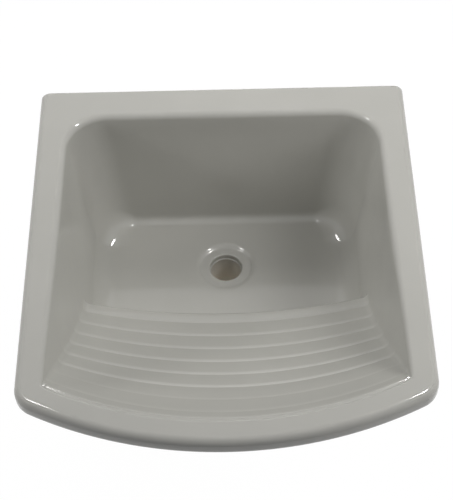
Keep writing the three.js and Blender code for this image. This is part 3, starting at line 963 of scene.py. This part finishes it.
def plain_finish(name, dark, light, roughness, grain, bump, metallic=0.0):
    """Finish whose colour and surface vary a little with a noise of the given grain."""
    finish = bpy.data.materials.new(name)
    finish.use_nodes = True
    tree = finish.node_tree
    shader = tree.nodes["Principled BSDF"]
    shader.inputs["Metallic"].default_value = metallic
    place = tree.nodes.new("ShaderNodeTexCoord")
    noise = tree.nodes.new("ShaderNodeTexNoise")
    noise.inputs["Scale"].default_value = grain
    noise.inputs["Detail"].default_value = 4.0
    tree.links.new(place.outputs["Object"], noise.inputs["Vector"])
    ramp = tree.nodes.new("ShaderNodeValToRGB")
    ramp.color_ramp.elements[0].position = 0.3
    ramp.color_ramp.elements[0].color = (*dark, 1)
    ramp.color_ramp.elements[1].position = 0.75
    ramp.color_ramp.elements[1].color = (*light, 1)
    tree.links.new(noise.outputs["Fac"], ramp.inputs["Fac"])
    tree.links.new(ramp.outputs["Color"], shader.inputs["Base Color"])
    spread = tree.nodes.new("ShaderNodeMapRange")
    spread.inputs["To Min"].default_value = roughness[0]
    spread.inputs["To Max"].default_value = roughness[1]
    tree.links.new(noise.outputs["Fac"], spread.inputs["Value"])
    tree.links.new(spread.outputs["Result"], shader.inputs["Roughness"])
    relief = tree.nodes.new("ShaderNodeBump")
    relief.inputs["Strength"].default_value = bump
    relief.inputs["Distance"].default_value = 0.0002
    tree.links.new(noise.outputs["Fac"], relief.inputs["Height"])
    tree.links.new(relief.outputs["Normal"], shader.inputs["Normal"])
    return finish


moulded_white = plain_finish("moulded white", (0.475, 0.470, 0.442), (0.500, 0.495, 0.466),
                             (0.12, 0.22), 60, 0.05)
waste.data.materials.append(moulded_white)
# Inside the bore the plastic is coloured brownish, and the colour is painted lighter further down,
# as painted light against the shade deep in the bore.
brownish_bore_painted_light = plain_finish("brownish bore with painted light", (0.56, 0.53, 0.475), (0.62, 0.59, 0.53),
                            (0.70, 0.85), 45, 0.05)
painted_light_run = 0.045
bore_tree = brownish_bore_painted_light.node_tree
bore_place = bore_tree.nodes.new("ShaderNodeTexCoord")
bore_height = bore_tree.nodes.new("ShaderNodeSeparateXYZ")
bore_tree.links.new(bore_place.outputs["Object"], bore_height.inputs[0])
# Painted light: the colour is scaled from a little darker at the ledge to much lighter lower in
# the bore.
painted_light_deeper = bore_tree.nodes.new("ShaderNodeMapRange")
painted_light_deeper.inputs["From Min"].default_value = ledge_top
painted_light_deeper.inputs["From Max"].default_value = ledge_top - painted_light_run
painted_light_deeper.inputs["To Min"].default_value = 0.85
painted_light_deeper.inputs["To Max"].default_value = 1.8
bore_tree.links.new(bore_height.outputs["Z"], painted_light_deeper.inputs["Value"])
painted_light_colour = bore_tree.nodes.new("ShaderNodeVectorMath")
painted_light_colour.operation = "SCALE"
bore_shader = bore_tree.nodes["Principled BSDF"]
bore_tree.links.new(bore_shader.inputs["Base Color"].links[0].from_socket, painted_light_colour.inputs[0])
bore_tree.links.new(painted_light_deeper.outputs["Result"], painted_light_colour.inputs["Scale"])
bore_tree.links.new(painted_light_colour.outputs[0], bore_shader.inputs["Base Color"])
waste.data.materials.append(brownish_bore_painted_light)
# Bore faces below the ledge get this brownish finish with its painted light.
for face in waste.data.polygons:
    x, y, z = face.center
    if math.hypot(x, y + waste_from_wall) < ledge_radius and z < ledge_top - ledge_rounding:
        face.material_index = 1
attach(waste, "root")
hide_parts("waste_body")

# ==================================================================== Waste gaskets
# Two flat rubber rings, one under the flange in the recess and one under the casting, and
# the nylon washer on which the locknut slips round without twisting the lower ring.


def flat_ring(name, node, bore, finish, softening):
    """Flat ring with softened edges, in the place of a CAD ring about the waste."""
    low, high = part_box(node)
    outer = high.x
    ring = turned(name, [
        (bore, low.z + softening), (bore + softening, low.z),
        (outer - softening, low.z), (outer, low.z + softening),
        (outer, high.z - softening), (outer - softening, high.z),
        (bore + softening, high.z), (bore, high.z - softening)], 72)
    ring.data.transform(Matrix.Translation((0, -waste_from_wall, 0)))
    ring.data.set_sharp_from_angle(angle=math.radians(60))
    ring.data.materials.append(finish)
    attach(ring, "root")
    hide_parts(node)


black_rubber = plain_finish("black rubber", (0.016, 0.016, 0.018), (0.028, 0.028, 0.030),
                            (0.62, 0.80), 220, 0.35)
natural_nylon = plain_finish("natural nylon", (0.66, 0.63, 0.52), (0.72, 0.69, 0.60),
                             (0.34, 0.48), 90, 0.10)
thread_room = 0.00035
neck_bore = neck_radius + thread_room
tail_bore = tail_radius + thread_room
hard_edge, soft_edge = 0.0003, 0.0008
flat_ring("rubber_ring_in_recess", "waste_top_gasket", neck_bore, black_rubber,
          hard_edge)
flat_ring("rubber_ring_under_casting", "waste_under_gasket", tail_bore, black_rubber,
          soft_edge)
flat_ring("nylon_slip_ring", "waste_slip_washer", tail_bore, natural_nylon, hard_edge)

# ==================================================================== Waste locknut
# Round nut with six lugs for the hand, moulded in the same white plastic as the body. It
# pulls the flange and both rubber rings tight on the casting.

nut_low, nut_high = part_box("waste_locknut")
nut_radius = 0.031
lug_count = 6
lug_length = nut_high.x - nut_radius
lug_half_width = 0.006
lug_flank = 0.0016
nut_edge = 0.0010
nut_corner_edge = 0.3 * nut_edge


def lugs(turns, radii, heights):
    """Draws the outside in between the lugs."""
    place = (turns + math.pi / lug_count) % (2 * math.pi / lug_count) - math.pi / lug_count
    across_lug = np.abs(radii * np.sin(place))
    rise = smooth_step((lug_half_width + lug_flank / 2 - across_lug) / lug_flank)
    return np.where(radii > nut_radius, radii - lug_length * (1 - rise), radii)


lug_tip = nut_high.x
locknut = turned("waste_hand_nut", [
    (tail_bore, nut_low.z + nut_edge), (tail_bore + nut_edge, nut_low.z),
    (lug_tip - nut_edge, nut_low.z), (lug_tip - nut_corner_edge, nut_low.z + nut_corner_edge),
    (lug_tip, nut_low.z + nut_edge), (lug_tip, nut_high.z - nut_edge),
    (lug_tip - nut_corner_edge, nut_high.z - nut_corner_edge), (lug_tip - nut_edge, nut_high.z),
    (tail_bore + nut_edge, nut_high.z), (tail_bore, nut_high.z - nut_edge)], 360, lugs)
locknut.data.transform(Matrix.Translation((0, -waste_from_wall, 0)))
locknut.data.set_sharp_from_angle(angle=math.radians(50))
locknut.data.materials.append(moulded_white)
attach(locknut, "root")
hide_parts("waste_locknut")

# ==================================================================== Wall bolts
# Zinc-plated 10 mm steel bolts that carry the sink: a coarse thread screwed into the wall
# plug, and a fine thread in the room for the nut.

bolt_radius = (bolt_high.x - bolt_low.x) / 2
bolt_end = -bolt_low.y
bolt_in_wall = bolt_high.y
bolt_point = 0.009
point_steps = 15
bolt_chamfer = 0.0012
half_neck = 0.002
fine_pitch, fine_depth, fine_fade, end_fade = 0.0015, 0.0009, 0.002, 0.001
coarse_pitch, coarse_depth, coarse_fade = 0.0036, 0.0014, 0.004
to_wall = Matrix.Rotation(RIGHT_ANGLE, 4, "X")
bolt_places = (("left", -bolt_x), ("right", bolt_x))


def bolt_threads(turns, radii, heights):
    """Coarse thread in the wall, a plain neck, and a fine thread in the room."""
    fade = smooth_step((-half_neck - heights) / coarse_fade)
    coarse = coarse_depth * fade * tooth(heights / coarse_pitch - turns / (2 * math.pi)) ** 0.5
    fade = smooth_step((heights - half_neck) / fine_fade)
    fade = fade * smooth_step((bolt_end - heights) / end_fade)
    fine = fine_depth * fade * tooth(heights / fine_pitch - turns / (2 * math.pi))
    return np.where(radii > 0, np.maximum(radii - coarse * radii / bolt_radius - fine, 0), 0)


point_end = -bolt_in_wall + bolt_point
coarse_step, fine_step = coarse_pitch / 8, fine_pitch / 6
point_heights = np.linspace(-bolt_in_wall, point_end, point_steps + 1)
wall_heights = np.arange(point_end + coarse_step, half_neck, coarse_step)
room_heights = np.arange(half_neck, bolt_end - bolt_chamfer, fine_step)
bolt_profile = [(bolt_radius * i / point_steps, z) for i, z in enumerate(point_heights)]
bolt_profile += [(bolt_radius, z) for z in np.concatenate([wall_heights, room_heights])]
bolt_profile += [(bolt_radius, bolt_end - bolt_chamfer), (bolt_radius - bolt_chamfer, bolt_end),
                 (0, bolt_end)]
zinc_plate = plain_finish("bright zinc plate", (0.40, 0.42, 0.44), (0.53, 0.55, 0.56),
                          (0.24, 0.42), 140, 0.12, 1.0)


def on_wall(piece, side, x, node, finish):
    """Puts a piece made about Z on the wall and in the place of its CAD node."""
    piece.data.transform(Matrix.Translation((x, 0, 0)) @ to_wall)
    piece.data.set_sharp_from_angle(angle=math.radians(45))
    piece.data.materials.append(finish)
    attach(piece, "root")
    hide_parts(f"{node}_{side}")


for side, x in bolt_places:
    bolt = turned(f"hanger_bolt_{side}", bolt_profile, 32, bolt_threads)
    on_wall(bolt, side, x, "wall_bolt", zinc_plate)

# ==================================================================== Bolt bushes
# Shouldered sleeves of natural nylon, pushed into the skirt's holes from the front. They keep
# the steel bolts off the ceramic.

bush_low, bush_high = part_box("wall_bush_right")
bush_radius = (bush_high.x - bush_low.x) / 2
bush_face = -bush_low.y
skirt_room = 0.0003
sleeve_face = skirt_thickness + skirt_room
bush_bore = bolt_radius + thread_room
sleeve_wall = 0.0037
sleeve_radius = bush_bore + sleeve_wall
sleeve_edge = 0.0003
bush_edge = 0.0006
bush_corner_edge = 0.3 * bush_edge
bush_profile = [
    (bush_bore, sleeve_edge), (bush_bore + sleeve_edge, 0),
    (sleeve_radius - sleeve_edge, 0), (sleeve_radius, sleeve_edge),
    (sleeve_radius, sleeve_face), (bush_radius - bush_edge, sleeve_face),
    (bush_radius, sleeve_face + bush_edge), (bush_radius, bush_face - bush_edge),
    (bush_radius - bush_corner_edge, bush_face - bush_corner_edge),
    (bush_radius - bush_edge, bush_face),
    (bush_bore + bush_edge, bush_face), (bush_bore, bush_face - bush_edge)]
for side, x in bolt_places:
    bush = turned(f"nylon_bush_{side}", bush_profile, 64)
    on_wall(bush, side, x, "wall_bush", natural_nylon)

# ==================================================================== Washers and nuts
# A stamped steel washer on each bush and a hexagon nut on each bolt, all zinc plated. The
# nut's outer corners are turned off at a slope, which leaves a curved edge on every flat.

washer_low, washer_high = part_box("wall_washer_right")
washer_radius = (washer_high.x - washer_low.x) / 2
washer_near, washer_far = -washer_high.y, -washer_low.y
wall_nut_low, wall_nut_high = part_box("wall_nut_right")
nut_corner = (wall_nut_high.x - wall_nut_low.x) / 2
nut_apothem = nut_corner * math.cos(math.pi / 6)
nut_near, nut_far = -wall_nut_high.y, -wall_nut_low.y
stamped = 0.0003
corner_slope = 1.7
below_slope = 0.001
bore_edge = 0.0006


def hexagon(turns, radii, heights):
    """Six flats, with the corners turned off towards the outer face."""
    place = turns % (math.pi / 3) - math.pi / 6
    flats = nut_apothem / np.cos(place)
    cone = nut_apothem + (nut_far - heights) * corner_slope
    outside = radii > nut_apothem * 0.98
    return np.where(outside, np.minimum(np.minimum(radii, flats), cone), radii)


levels = nut_far - (nut_corner - nut_apothem) / corner_slope * np.linspace(1.02, 0, 9)
nut_profile = [(bush_bore, nut_near), (nut_corner, nut_near),
               (nut_corner, levels[0] - below_slope)]
nut_profile += [(nut_corner, z) for z in levels]
nut_profile += [(bush_bore + bore_edge, nut_far), (bush_bore, nut_far - bore_edge)]
for side, x in bolt_places:
    washer = turned(f"steel_washer_{side}", [
        (bush_bore, washer_near), (washer_radius - stamped, washer_near),
        (washer_radius, washer_near + stamped), (washer_radius, washer_far - stamped),
        (washer_radius - stamped, washer_far), (bush_bore + stamped, washer_far),
        (bush_bore, washer_far - stamped)], 64)
    on_wall(washer, side, x, "wall_washer", zinc_plate)
    nut = turned(f"hexagon_nut_{side}", nut_profile, 120, hexagon)
    on_wall(nut, side, x, "wall_nut", zinc_plate)
